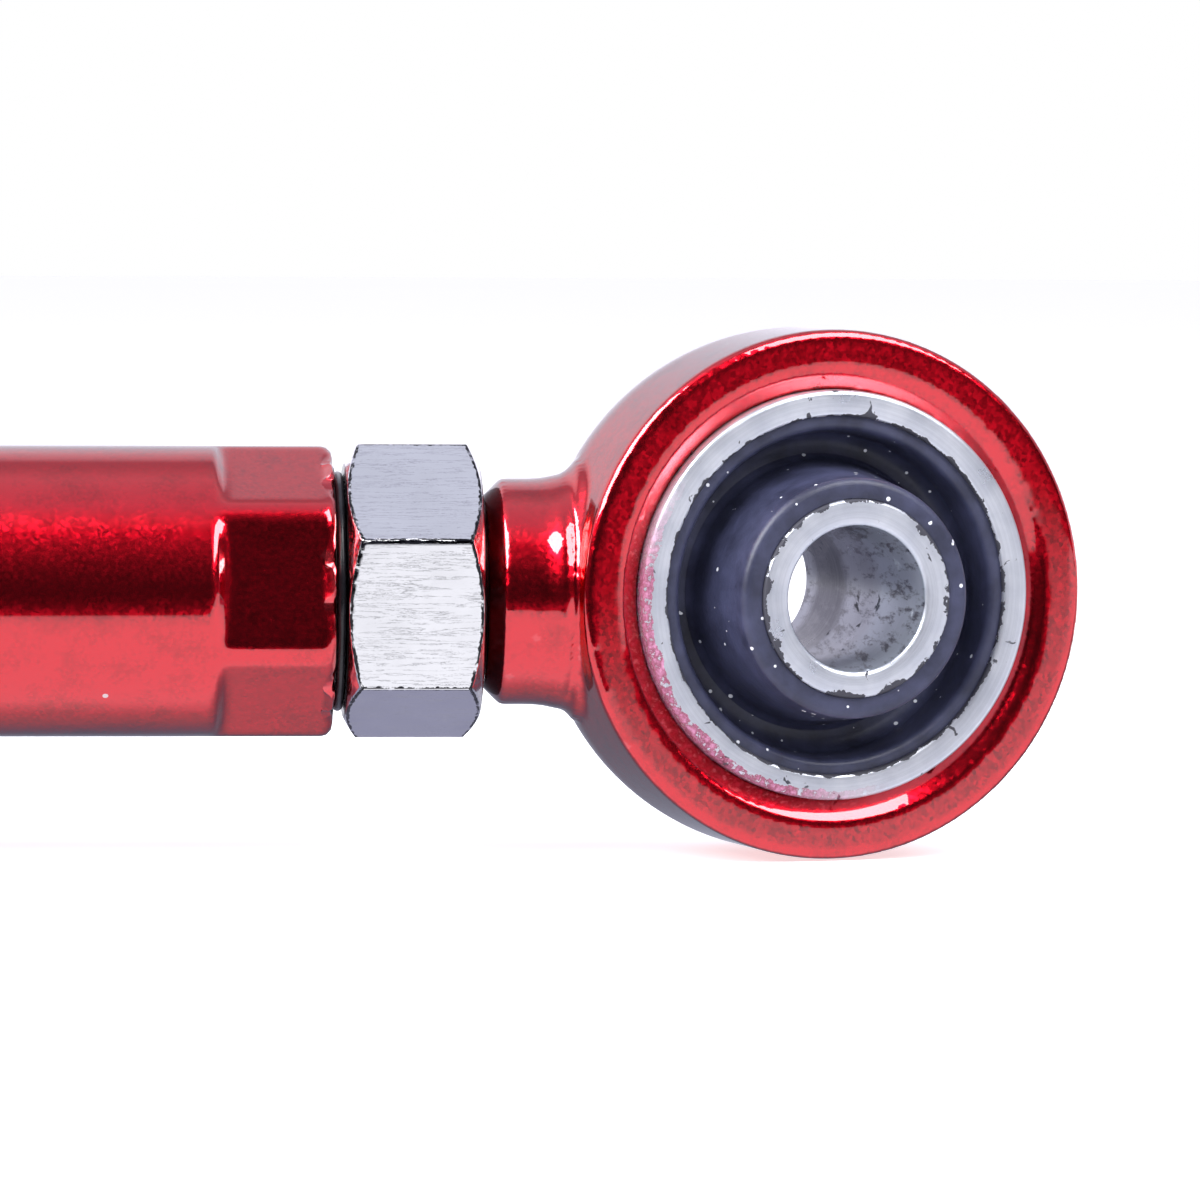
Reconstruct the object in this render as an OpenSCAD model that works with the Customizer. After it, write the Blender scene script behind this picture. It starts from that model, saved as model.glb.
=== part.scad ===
// Adjustable suspension control arm: a turnbuckle tube between two forged
// eyes, each with a bonded rubber bush. The right bush's centre is the
// origin, the arm runs along -X and its front is towards -Y. Both bolt axes
// are level and parallel, and lean off square to the swept arm.
// Millimetres, +Z up, drawn at its shortest setting.

/* [Arm] */
// Distance along the arm between the bush centres, with both ends screwed in
centre_distance = 300; // [240:5:400]
// Angle by which the bolt axes lean off square to the arm
bolt_lean = 15; // [0:1:20]
// Distance of the arm's axis in front of the right bush's centre
arm_forward = 4.5; // [0:0.5:6]
// Diameter of the threaded shanks
thread_d = 18; // [16:0.5:19]
// Radial depth of the thread
thread_depth = 0.8; // [0.6:0.1:1.2]
// Distance that each end screws out of the tube
adjustment = 12; // [6:1:16]
// Thread that stays in the tube when an end is screwed out
engagement = 20; // [18:1:30]

/* [Tube] */
// Outside diameter of the tube
tube_d = 30.3; // [29:0.1:36]
// Distance across the wrench flats at each end of the tube
wrench_af = 27; // [25:0.5:28]
// Length of the wrench flats
wrench_len = 12; // [8:1:20]
// Turn of the wrench flats about the arm
wrench_turn = 7; // [-30:1:30]
// Full thread cut past the end of the shank
tap_runout = 4; // [2:0.5:8]
// Bevel round each end of the tube
tube_bevel = 0.6; // [0.2:0.1:1.2]

/* [Jam nuts] */
// Distance across the flats of a jam nut
nut_af = 27; // [26:0.5:32]
// Height of a jam nut
nut_h = 14.2; // [8:0.1:20]
// Turn of a jam nut about the arm when it is tight
nut_turn = -7; // [-30:1:30]
// Angle of the bevel that rounds the corners of a jam nut
nut_bevel_angle = 30; // [15:1:40]
// Lead-in bevel at each end of the nut's thread
nut_mouth = 0.8; // [0.4:0.1:1.2]

/* [Seals] */
// Outside diameter of the seal between the tube and a jam nut
seal_d = 25; // [22:0.5:26.5]
// Thickness of the seal
seal_t = 1; // [0.8:0.1:2]

/* [Eyes] */
// Diameter of the eye at its turned face
eye_d = 55.2; // [52:0.4:64]
// Width of the eye along the bolt axis
eye_w = 22.4; // [18:0.4:28]
// Straight part of the eye's rim behind the turned face
rim_straight = 11.2; // [6:0.2:15]
// Drop of the rim's round back part, at the back face
rim_drop = 3.6; // [0.5:0.1:3.8]
// Rounding of the eye's front edge
rim_round = 0.8; // [0.3:0.1:1.5]
// Width of the lead-in bevel at each end of the eye's bore
lead_in_w = 2.2; // [1:0.1:2.6]
// Depth of the lead-in bevel
lead_in_depth = 1.4; // [0.6:0.1:2.5]
// Diameter of the neck between the eye and the thread
neck_d = 23.6; // [22.6:0.1:26]
// Distance from the bolt centre to the shoulder behind the thread
shoulder_x = 33.6; // [32:0.1:42]
// Height and length of the shoulder's bevel
shoulder_bevel = 1.9; // [0.8:0.1:2.2]
// Fillet between the neck and the top of the eye
fillet_top = 2.5; // [1:0.5:5]
// Fillet between the neck and the bottom of the eye
fillet_bottom = 4; // [1:0.5:5]
// Width of the flare that the fillets make
flare_w = 20; // [12:1:22]
// Distance that the facing cut reaches past the rim
facing_margin = 1.4; // [0.5:0.1:2.5]

/* [Bushes] */
// Outside diameter of the steel outer sleeve, a press fit in the eye
outer_sleeve_d = 42.7; // [40:0.1:44]
// Wall of the outer sleeve
outer_sleeve_wall = 2.7; // [1.5:0.1:3.5]
// Distance that the outer sleeve stands proud of each face of the eye
outer_sleeve_proud = 0.5; // [0.2:0.1:1.5]
// Outside diameter of the inner sleeve
inner_sleeve_d = 20.6; // [19:0.1:22]
// Length of the inner sleeve, which the bracket clamps
inner_sleeve_len = 35; // [31:0.5:44]
// Diameter of the bolt hole
bolt_hole_d = 15; // [12:0.1:16]
// Bevel at each mouth of the bolt hole
bolt_hole_bevel = 0.6; // [0.2:0.1:1]
// Diameter of the rubber hub at the end of the inner sleeve
hub_d = 24.8; // [23.6:0.2:26]
// Distance from the hub's end back to the end of the inner sleeve
hub_recess = 0.4; // [0.2:0.1:1.5]
// Diameter of the rubber hub at the floor of the groove
hub_root_d = 28; // [26.4:0.2:29]
// Depth of the groove in the rubber, below the face of the eye
groove_depth = 6; // [3:0.5:8]
// Radial thickness of the rubber lip that lines the outer sleeve
lip_t = 1.7; // [0.8:0.1:2.2]

/* [Fits] */
// Radial clearance of the threads
thread_clear = 0.05; // [0.02:0.01:0.1]
// Radial clearance between the rubber and the inner sleeve
bush_clear = 0.05; // [0.02:0.01:0.1]
// Gap on each side of a seal
seal_gap = 0.05; // [0.02:0.01:0.1]
// Gap between a jam nut and the shoulder behind it
shoulder_gap = 0.3; // [0.25:0.05:1]

/* [Hidden] */
$fn = 96;
red = [0.72, 0.04, 0.07];
zinc = [0.72, 0.72, 0.66];
nickel = [0.85, 0.85, 0.88];
black_rubber = [0.05, 0.05, 0.06];

// Places along the arm, measured from a bolt centre towards the tube
nut_x = shoulder_x + shoulder_gap;
seal_x = nut_x + nut_h + seal_gap;
tube_x = seal_x + seal_t + seal_gap;
shank_end_x = tube_x + engagement + adjustment;
tube_len = centre_distance - 2 * tube_x;
tap_depth = shank_end_x - tube_x + tap_runout;

thread_r = thread_d / 2;
eye_r = eye_d / 2;
face_y = eye_w / 2;
housing_bore_r = outer_sleeve_d / 2;
rubber_r = housing_bore_r - outer_sleeve_wall;
sleeve_half = inner_sleeve_len / 2;
overcut = 1;
// Distance by which two surfaces that run into each other smoothly cross
ease = 0.02;

// Lies a shape that stands on +Z along the arm's axis, away from the right end
module along_arm() { translate([0, -arm_forward, 0]) rotate([0, -90, 0]) children(); }

// Lies a shape that stands on +Z along the right bolt axis, its top to the front
module along_bolt() { rotate([0, 0, bolt_lean]) rotate([90, 0, 0]) children(); }

// Places an end's piece on the right or, turned half round, on the left
module at_end(side) {
    if (side == "right") children();
    else translate([-centre_distance, -2 * arm_forward, 0]) rotate([0, 0, 180]) children();
}

// A plain hexagonal bar of the given distance across its flats
module hex_bar(across_flats, length, turn) {
    rotate([0, 0, turn]) cylinder(r = across_flats / 2 / cos(30), h = length, $fn = 6);
}

// ---- tube ----------------------------------------------------------------

// The tube's bar with a bevel round each end
module tube_bar() {
    rotate_extrude() polygon([[0, 0], [tube_d / 2 - tube_bevel, 0], [tube_d / 2, tube_bevel],
        [tube_d / 2, tube_len - tube_bevel], [tube_d / 2 - tube_bevel, tube_len], [0, tube_len]]);
}

// What is milled away to leave the wrench flats at one end
module wrench_cut() {
    translate([0, 0, -overcut]) difference() {
        cylinder(d = tube_d + 2 * overcut, h = wrench_len + overcut);
        translate([0, 0, -overcut]) hex_bar(wrench_af, wrench_len + 3 * overcut, wrench_turn);
    }
}

// The tapped hole at one end, with its mouth bevelled
module tapped_hole() {
    bore_r = thread_r + thread_clear;
    translate([0, 0, -overcut]) cylinder(r = bore_r, h = tap_depth + overcut);
    translate([0, 0, tap_depth]) cylinder(r1 = bore_r, r2 = thread_r - thread_depth, h = thread_depth);
    translate([0, 0, -overcut])
        cylinder(r1 = bore_r + thread_depth + overcut, r2 = bore_r, h = thread_depth + overcut);
}

module turnbuckle_tube() {
    color(red) along_arm() translate([0, 0, tube_x]) difference() {
        tube_bar();
        translate([0, 0, -overcut]) cylinder(r = thread_r - thread_depth, h = tube_len + 2 * overcut);
        wrench_cut();
        tapped_hole();
        translate([0, 0, tube_len]) rotate([180, 0, 0]) {
            wrench_cut();
            tapped_hole();
        }
    }
}

// ---- end housing ---------------------------------------------------------

// Half section of the eye's ring: turned straight in front, crowned behind
module eye_section() {
    straight_z = face_y - rim_straight;
    crown_len = eye_w - rim_straight;
    crown_r = (pow(crown_len, 2) + pow(rim_drop, 2)) / (2 * rim_drop);
    difference() {
        intersection() {
            translate([housing_bore_r, -face_y]) square([eye_r - housing_bore_r, eye_w]);
            union() {
                translate([0, straight_z]) square([eye_d, eye_w]);
                translate([eye_r - crown_r + ease, straight_z]) circle(r = crown_r);
            }
        }
        front_edge_round();
        for (end = [-1, 1]) lead_in_cut(end);
    }
}

// Corner left outside the rounding of the eye's front edge
module front_edge_round() {
    difference() {
        translate([eye_r - rim_round, face_y - rim_round]) square(rim_round + overcut);
        translate([eye_r - rim_round, face_y - rim_round]) circle(r = rim_round);
    }
}

// Bevel at the front (1) or back (-1) mouth of the eye's bore
module lead_in_cut(end) {
    polygon([[housing_bore_r - overcut, end * (face_y + overcut)],
        [housing_bore_r + lead_in_w, end * (face_y + overcut)],
        [housing_bore_r + lead_in_w, end * face_y],
        [housing_bore_r, end * (face_y - lead_in_depth)],
        [housing_bore_r - overcut, end * (face_y - lead_in_depth)]]);
}

// Where a fillet between the neck and the eye has its centre along the arm
function fillet_x(fillet) =
    sqrt(pow(eye_r + fillet, 2) - pow(neck_d / 2 + fillet, 2));

// Half section of the neck from the eye's bore to its bevelled shoulder
module neck_section() {
    polygon([[0, 0], [neck_d / 2, 0], [neck_d / 2, shoulder_x - shoulder_bevel],
        [neck_d / 2 - shoulder_bevel, shoulder_x], [0, shoulder_x]]);
}

// Half section of the flare that a fillet makes at the root of the neck
module flare_section(fillet) {
    root_x = fillet_x(fillet) * eye_r / (eye_r + fillet);
    root_r = (neck_d / 2 + fillet) * eye_r / (eye_r + fillet);
    difference() {
        polygon([[0, 0], [root_r, 0], [root_r, root_x], [neck_d / 2, fillet_x(fillet)], [0, fillet_x(fillet)]]);
        translate([neck_d / 2 + fillet, fillet_x(fillet)]) circle(r = fillet + ease);
    }
}

// The flare above and below the neck, narrower than the neck itself
module neck_flare() {
    intersection() {
        union() {
            rotate([0, 0, -90]) rotate_extrude(angle = 180) flare_section(fillet_top);
            rotate([0, 0, 90]) rotate_extrude(angle = 180) flare_section(fillet_bottom);
        }
        translate([-eye_r, -flare_w / 2, 0]) cube([eye_d, flare_w, shoulder_x]);
    }
}

// Front and back facing cuts, which just reach the root of the neck
module facing_cuts() {
    for (end = [0, 1]) mirror([0, 0, end]) translate([0, 0, face_y])
        cylinder(r = eye_r + facing_margin, h = neck_d);
}

module end_housing(side) {
    color(red) at_end(side) difference() {
        union() {
            along_bolt() rotate_extrude() eye_section();
            along_arm() {
                rotate_extrude() neck_section();
                neck_flare();
                shank();
            }
        }
        along_bolt() {
            facing_cuts();
            cylinder(r = housing_bore_r, h = eye_w + 2 * overcut, center = true);
            rotate_extrude() for (end = [-1, 1]) lead_in_cut(end);
        }
    }
}

// Threaded shank, from inside the neck to its bevelled end in the tube
module shank() {
    rotate_extrude() polygon([[0, shoulder_x - shoulder_bevel], [thread_r, shoulder_x - shoulder_bevel],
        [thread_r, shank_end_x - thread_depth], [thread_r - thread_depth, shank_end_x], [0, shank_end_x]]);
}

// ---- bush ----------------------------------------------------------------

module outer_sleeve(side) {
    half = face_y + outer_sleeve_proud;
    color(zinc) at_end(side) along_bolt() difference() {
        cylinder(r = housing_bore_r, h = 2 * half, center = true);
        cylinder(r = rubber_r, h = 2 * (half + overcut), center = true);
    }
}

// Front half of the rubber's outline: lip against the outer sleeve, groove and hub
function rubber_outline() =
    let (hub_z = sleeve_half - hub_recess, floor_z = face_y - groove_depth,
        groove_r = rubber_r - lip_t, lip_round = lip_t / 2)
    [[rubber_r, face_y], [rubber_r - lip_round, face_y], [groove_r, face_y - lip_round],
        [groove_r - lip_round, floor_z + lip_round], [groove_r - lip_t, floor_z],
        [hub_root_d / 2, floor_z], [hub_d / 2, hub_z - lip_round],
        [hub_d / 2 - lip_round / 2, hub_z], [inner_sleeve_d / 2 + bush_clear, hub_z]];

module rubber_bush(side) {
    front = rubber_outline();
    back = [for (i = [len(front) - 1 : -1 : 0]) [front[i].x, -front[i].y]];
    color(black_rubber) at_end(side) along_bolt() rotate_extrude() polygon(concat(front, back));
}

module inner_sleeve(side) {
    outer_r = inner_sleeve_d / 2;
    hole_r = bolt_hole_d / 2;
    color(zinc) at_end(side) along_bolt() rotate_extrude()
        polygon([[hole_r, bolt_hole_bevel - sleeve_half], [hole_r + bolt_hole_bevel, -sleeve_half],
            [outer_r, -sleeve_half], [outer_r, sleeve_half], [hole_r + bolt_hole_bevel, sleeve_half],
            [hole_r, sleeve_half - bolt_hole_bevel]]);
}

// ---- jam nuts and seals --------------------------------------------------

// Double cone that takes the corners off both ends of a nut
module nut_corner_cone() {
    corner_r = nut_af / 2 / cos(30);
    face_r = nut_af / 2 - nut_mouth / 2;
    drop = (corner_r - face_r) * tan(nut_bevel_angle);
    rotate_extrude() polygon([[0, 0], [face_r, 0], [corner_r, drop], [corner_r, nut_h - drop],
        [face_r, nut_h], [0, nut_h]]);
}

module jam_nut(side) {
    bore_r = thread_r + thread_clear;
    color(nickel) at_end(side) along_arm() translate([0, 0, nut_x]) difference() {
        intersection() {
            hex_bar(nut_af, nut_h, nut_turn);
            nut_corner_cone();
        }
        translate([0, 0, -overcut]) cylinder(r = bore_r, h = nut_h + 2 * overcut);
        translate([0, 0, -overcut])
            cylinder(r1 = bore_r + nut_mouth + overcut, r2 = bore_r, h = nut_mouth + overcut);
        translate([0, 0, nut_h - nut_mouth])
            cylinder(r1 = bore_r, r2 = bore_r + nut_mouth + overcut, h = nut_mouth + overcut);
    }
}

// Flat rubber ring with a round outer edge
module seal_ring(side) {
    bore_r = thread_r + thread_clear;
    color(black_rubber) at_end(side) along_arm() translate([0, 0, seal_x]) rotate_extrude() {
        translate([bore_r, 0]) square([seal_d / 2 - seal_t / 2 - bore_r, seal_t]);
        translate([seal_d / 2 - seal_t / 2, seal_t / 2]) circle(d = seal_t, $fn = 48);
    }
}

turnbuckle_tube();
end_housing("right");  // end_housing_right
outer_sleeve("right");  // outer_sleeve_right
rubber_bush("right");  // rubber_bush_right
inner_sleeve("right");  // inner_sleeve_right
end_housing("left");  // end_housing_left
outer_sleeve("left");  // outer_sleeve_left
rubber_bush("left");  // rubber_bush_left
inner_sleeve("left");  // inner_sleeve_left
jam_nut("right");  // jam_nut_right
seal_ring("right");  // seal_ring_right
jam_nut("left");  // jam_nut_left
seal_ring("left");  // seal_ring_left
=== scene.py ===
"""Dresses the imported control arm: paint, plating, rubber, threads, and the studio it stands in."""

import math

import bpy
from bpy.props import FloatProperty, FloatVectorProperty, PointerProperty
from mathutils import Matrix, Vector


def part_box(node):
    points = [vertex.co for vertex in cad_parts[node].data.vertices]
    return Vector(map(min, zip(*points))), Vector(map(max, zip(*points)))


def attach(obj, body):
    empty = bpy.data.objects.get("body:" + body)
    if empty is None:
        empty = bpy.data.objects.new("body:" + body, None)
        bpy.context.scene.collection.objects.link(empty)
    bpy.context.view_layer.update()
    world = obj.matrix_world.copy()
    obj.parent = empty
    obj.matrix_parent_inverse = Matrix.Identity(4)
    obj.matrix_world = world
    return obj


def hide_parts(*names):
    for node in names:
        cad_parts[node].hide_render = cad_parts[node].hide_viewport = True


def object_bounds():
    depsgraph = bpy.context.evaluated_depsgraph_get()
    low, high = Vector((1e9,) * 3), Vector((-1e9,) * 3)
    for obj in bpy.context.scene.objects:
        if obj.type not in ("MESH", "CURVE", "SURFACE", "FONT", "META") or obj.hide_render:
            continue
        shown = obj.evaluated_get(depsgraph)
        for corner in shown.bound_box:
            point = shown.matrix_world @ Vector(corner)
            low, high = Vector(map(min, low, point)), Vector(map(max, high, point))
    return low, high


bl_info = {
    "name": "Adjustable Control Arm",
    "version": (1, 0, 0),
    "blender": (4, 5, 0),
    "location": "View3D > Sidebar > Control Arm",
    "description": "Models and paints the pieces of an adjustable suspension control arm",
    "category": "Object",
}

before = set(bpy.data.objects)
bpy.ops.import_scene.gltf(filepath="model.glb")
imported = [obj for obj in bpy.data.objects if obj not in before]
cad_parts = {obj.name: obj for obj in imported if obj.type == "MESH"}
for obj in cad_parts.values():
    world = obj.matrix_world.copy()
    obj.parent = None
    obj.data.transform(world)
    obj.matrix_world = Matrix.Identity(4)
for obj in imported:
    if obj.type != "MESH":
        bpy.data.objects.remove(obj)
CAD_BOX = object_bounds()

MM = 0.001
SIDES = ("right", "left")


def cad_size(node, axis):
    """Length of a CAD node along an axis, in millimetres."""
    low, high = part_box(node)
    return (high[axis] - low[axis]) / MM


# Pieces are modelled in millimetres on their own axis, and then set in the arm.
# The right bolt axis passes through the origin; the left end is the right end
# turned half round at the far end of the arm.
ARM_Y = sum(c[1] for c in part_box("turnbuckle_tube")) / 2 / MM
BOLT_SPAN = 2 * abs(sum(c[0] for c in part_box("turnbuckle_tube")) / 2 / MM)
TUBE_X = -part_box("turnbuckle_tube")[1][0] / MM
TUBE_LEN = cad_size("turnbuckle_tube", 0)
NUT_X = -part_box("jam_nut_right")[1][0] / MM
NUT_H = cad_size("jam_nut_right", 0)
SEAL_X = -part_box("seal_ring_right")[1][0] / MM
SEAL_T = cad_size("seal_ring_right", 0)
SEAL_R = cad_size("seal_ring_right", 2) / 2
EYE_R = cad_size("end_housing_right", 2) / 2
SHANK_END_X = -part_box("end_housing_right")[0][0] / MM
OUTER_SLEEVE_R = cad_size("outer_sleeve_right", 2) / 2
INNER_SLEEVE_R = cad_size("inner_sleeve_right", 2) / 2

# A nut's turned end face lies this far inside its flats, and its cone rises at 30 degrees
NUT_FACE_IN = 0.4
TAN_30 = math.tan(math.radians(30))

# The soft collar at the neck's root: rise over the neck's radius, and distance from the bolt centre
COLLAR = ((-0.2, 12), (-0.2, 23.8), (0.5, 25.4), (0.35, 26.2), (0.12, 27.2), (0, 28.6))

# The room's light at angles that rise from the front (0) over the top (90) to the back (180)
ROOM_LIGHT = (
    (-180, (1.1, 1.1, 1.15)), (-172, (0.42, 0.42, 0.52)), (-150, (0.26, 0.26, 0.36)),
    (-137, (0.30, 0.30, 0.42)), (-122, (0.42, 0.42, 0.52)), (-109, (0.55, 0.55, 0.66)),
    (-94, (0.96, 0.96, 1.04)), (-17.0, (1.0, 1.0, 1.06)), (-16.4, (0.012, 0.012, 0.018)),
    (50, (0.02, 0.02, 0.03)), (74, (0.42, 0.42, 0.54)), (102, (0.62, 0.64, 0.76)),
    (118, (0.40, 0.40, 0.52)), (126, (0.36, 0.36, 0.48)), (132, (0.82, 0.80, 0.96)),
    (146, (1.15, 1.12, 1.28)),
)


# ---- properties -----------------------------------------------------------


def length(name, about, default):
    """A length in millimetres that a user may change."""
    return FloatProperty(name=name, description=about, default=default, min=0.0)


def colour(name, about, default):
    """A linear colour that a user may change."""
    return FloatVectorProperty(
        name=name, description=about, default=default, size=3, min=0.0, max=1.0, subtype="COLOR"
    )


class ArmSizes(bpy.types.PropertyGroup):
    bolt_lean: FloatProperty(
        name="Bolt lean",
        description="Angle by which the bolt axes lean off square to the arm",
        default=math.radians(15),
        subtype="ANGLE",
    )
    tube_d: length("Tube diameter", "Outside diameter of the tube", 30.3)
    wrench_af: length("Wrench flats", "Distance across the tube's wrench flats", 27.0)
    wrench_len: length("Wrench length", "Length of the wrench flats", 12.0)
    wrench_turn: FloatProperty(
        name="Wrench turn",
        description="Turn of the wrench flats about the arm",
        default=math.radians(7),
        subtype="ANGLE",
    )
    nut_af: length("Nut flats", "Distance across the flats of a jam nut", 27.0)
    nut_turn: FloatProperty(
        name="Nut turn",
        description="Turn of a jam nut about the arm",
        default=math.radians(-7),
        subtype="ANGLE",
    )
    thread_r: length("Thread radius", "Outside radius of the shank's thread", 9.0)
    thread_pitch: length("Thread pitch", "Rise of the thread in one turn", 1.5)
    thread_depth: length("Thread depth", "Radial depth of the thread", 0.9)
    eye_w: length("Eye width", "Width of the eye along the bolt axis", 22.4)
    rim_drop: length("Rim drop", "Drop of the eye's round back part at the back face", 3.6)
    neck_r: length("Neck radius", "Radius of the neck between the eye and the thread", 11.8)
    shoulder_x: length("Shoulder place", "Distance from the bolt centre to the shoulder", 33.6)
    shoulder_bevel: length("Shoulder bevel", "Height and length of the shoulder's bevel", 1.9)
    fillet_top: length("Top fillet", "Fillet between the neck and the top of the eye", 3.2)
    fillet_bottom: length("Bottom fillet", "Fillet between the neck and the bottom of the eye", 4.0)
    flare_depth: FloatProperty(
        name="Flare depth", description="Depth of the flares as a share of their width", default=0.86
    )
    sleeve_wall: length("Sleeve wall", "Wall of the outer sleeve", 2.7)
    sleeve_proud: length("Sleeve height", "Distance the outer sleeve stands proud of the eye", 0.5)
    hole_r: length("Bolt hole", "Radius of the bolt hole", 7.5)
    inner_half: length("Inner sleeve", "Half the length of the inner sleeve", 17.5)
    paint_voxel: length("Paint grid", "Grid on which the painted forging is smoothed", 0.36)
    nut_voxel: length("Nut grid", "Grid on which the nuts are smoothed", 0.2)


class ArmFinish(bpy.types.PropertyGroup):
    candy_red: colour("Candy red", "Tint of the lacquer over the metal flakes", (0.86, 0.006, 0.022))
    candy_deep: colour("Deep red", "Tint where the lacquer is thick", (0.58, 0.003, 0.012))
    candy_thin: colour("Thin red", "Tint where the lacquer is thin, along the edges", (0.95, 0.10, 0.12))
    candy_dust: colour("Paint dust", "Dust caught in the lacquer", (0.9, 0.7, 0.7))
    nickel: colour("Nickel", "Bright plating of the jam nuts", (0.93, 0.93, 0.95))
    # Near-black of the painted shade along the nuts' edges and over their end faces
    painted_nut_shade: colour("Dirt", "Dirt where the nuts' faces meet", (0.03, 0.03, 0.035))
    scratch: colour("Scratch", "Fine scratches in the nuts' plating", (0.35, 0.35, 0.38))
    zinc: colour("Zinc", "Plating of the sleeves", (0.64, 0.67, 0.77))
    zinc_light: colour("Light zinc", "Brighter clouds in the sleeves' plating", (0.88, 0.90, 0.98))
    zinc_ring: colour("Zinc rings", "Lathe rings in the sleeves' plating", (0.34, 0.36, 0.42))
    flash: colour("Flash", "Rubber flash and chips on the sleeves", (0.035, 0.035, 0.05))
    spray_deep: colour("Deep spray", "Hollows of the overspray", (0.16, 0.01, 0.04))
    spray_pale: colour("Pale spray", "Crests of the overspray", (0.50, 0.22, 0.36))
    # Painted light at the bolt hole's mouth, painted shade farther in and in a dark band
    bore_mouth_light: colour("Bore mouth", "Bolt hole near its mouth", (0.42, 0.46, 0.54))
    bore_inner_shade: colour("Bore shade", "Bolt hole farther in", (0.30, 0.31, 0.37))
    bore_shade_band: colour("Bore stain", "Dark band in the bolt hole", (0.06, 0.06, 0.09))
    bore_scar: colour("Bore scars", "Scars in the bolt hole", (0.10, 0.10, 0.13))
    rubber: colour("Rubber", "Black rubber of the bushes", (0.020, 0.022, 0.046))
    rubber_dust: colour("Rubber dust", "Dust on the bushes", (0.62, 0.64, 0.70))
    seal: colour("Seal", "Black rubber of the seals", (0.008, 0.008, 0.010))
    steel: colour("Steel", "Bare steel of the threads", (0.42, 0.42, 0.43))
    rust: colour("Rust", "Tarnish on the threads", (0.25, 0.22, 0.18))


class ArmStudio(bpy.types.PropertyGroup):
    key_power: FloatProperty(
        name="Key lamps", description="Power of the two soft lamps", default=10.0, unit="POWER"
    )
    fill: FloatProperty(name="Fill", description="Strength of the even light all round", default=1.0)


# ---- modelling helpers ----------------------------------------------------


def only(obj):
    """Selects one object and makes it active."""
    bpy.ops.object.select_all(action="DESELECT")
    obj.select_set(True)
    bpy.context.view_layer.objects.active = obj


def turned(name, outline, steps=192, angle=2 * math.pi):
    """Draws an outline of (radius, height) points and spins it round Z into a closed shape."""
    bpy.ops.object.select_all(action="DESELECT")
    bpy.ops.mesh.primitive_plane_add(size=1)
    obj = bpy.context.object
    obj.name = name
    bpy.ops.object.mode_set(mode="EDIT")
    bpy.ops.mesh.select_all(action="SELECT")
    bpy.ops.mesh.merge(type="CENTER")
    bpy.ops.transform.translate(value=(outline[0][0], 0, outline[0][1]))
    for (r0, z0), (r1, z1) in zip(outline, outline[1:]):
        bpy.ops.mesh.extrude_region_move(TRANSFORM_OT_translate={"value": (r1 - r0, 0, z1 - z0)})
    bpy.ops.mesh.select_all(action="SELECT")
    bpy.ops.mesh.remove_doubles(threshold=0.0005)
    bpy.ops.mesh.spin(steps=steps, angle=angle, center=(0, 0, 0), axis=(0, 0, 1))
    bpy.ops.mesh.select_all(action="SELECT")
    bpy.ops.mesh.remove_doubles(threshold=0.0005)
    if angle < 2 * math.pi:
        bpy.ops.mesh.fill_holes(sides=0)
        bpy.ops.mesh.select_all(action="SELECT")
    bpy.ops.mesh.normals_make_consistent(inside=False)
    bpy.ops.object.mode_set(mode="OBJECT")
    return obj


def hex_bar(name, across_flats, tall, turn):
    """A hexagonal bar that stands on Z, as wide across its flats as asked."""
    bpy.ops.object.select_all(action="DESELECT")
    bpy.ops.mesh.primitive_cylinder_add(
        vertices=6,
        radius=across_flats / 2 / math.cos(math.radians(30)),
        depth=tall,
        location=(0, 0, tall / 2),
        rotation=(0, 0, turn + math.radians(-90)),
    )
    obj = bpy.context.object
    obj.name = name
    bpy.ops.object.transform_apply(location=True, rotation=True, scale=True)
    return obj


def apply(obj, kind, **settings):
    """Adds a modifier with these settings and applies it."""
    only(obj)
    modifier = obj.modifiers.new(kind.title(), kind)
    for key, value in settings.items():
        setattr(modifier, key, value)
    bpy.ops.object.modifier_apply(modifier=modifier.name)


def combine(obj, tool, operation):
    """Joins, cuts or keeps the overlap of two closed shapes, and uses up the tool."""
    apply(obj, "BOOLEAN", operation=operation, object=tool, solver="EXACT")
    bpy.data.objects.remove(tool)


def move(obj, place=(0, 0, 0), turn=(0, 0, 0), size=(1, 1, 1)):
    """Moves, turns and sizes an object, and keeps the result in its mesh."""
    only(obj)
    obj.location, obj.rotation_euler, obj.scale = place, turn, size
    bpy.ops.object.transform_apply(location=True, rotation=True, scale=True)


def keep_own_place(obj):
    """Notes each point's place on the piece's own axis, in millimetres, for its patterns."""
    mesh = obj.data
    if "own_place" in mesh.attributes:
        return
    places = [0.0] * (3 * len(mesh.vertices))
    mesh.vertices.foreach_get("co", places)
    mesh.attributes.new("own_place", "FLOAT_VECTOR", "POINT").data.foreach_set("vector", places)


def onto_bolt(obj, sizes):
    """Sets a piece that stands on Z on the right bolt axis, its top to the front."""
    keep_own_place(obj)
    move(obj, turn=(math.radians(90), 0, sizes.bolt_lean), size=(MM, MM, MM))


def onto_arm(obj):
    """Lays a piece that stands on Z along the arm, away from the right end."""
    keep_own_place(obj)
    move(obj, place=(0, ARM_Y * MM, 0), turn=(0, math.radians(-90), 0), size=(MM, MM, MM))


def finish_piece(obj, name, material, body, replaces=()):
    """Names a piece, gives it its material and says which body it rides on."""
    obj.name = name
    obj.data.name = name
    obj.data.materials.clear()
    obj.data.materials.append(bpy.data.materials[material])
    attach(obj, body)
    if replaces:
        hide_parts(*replaces)


def left_copy(obj, name):
    """Copies a right-hand piece, mesh and all, turned half round to the far end of the arm."""
    only(obj)
    bpy.ops.object.duplicate()
    twin = bpy.context.object
    twin.name = name
    move(twin, place=(-BOLT_SPAN * MM, 2 * ARM_Y * MM, 0), turn=(0, 0, math.pi))
    return twin


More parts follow.
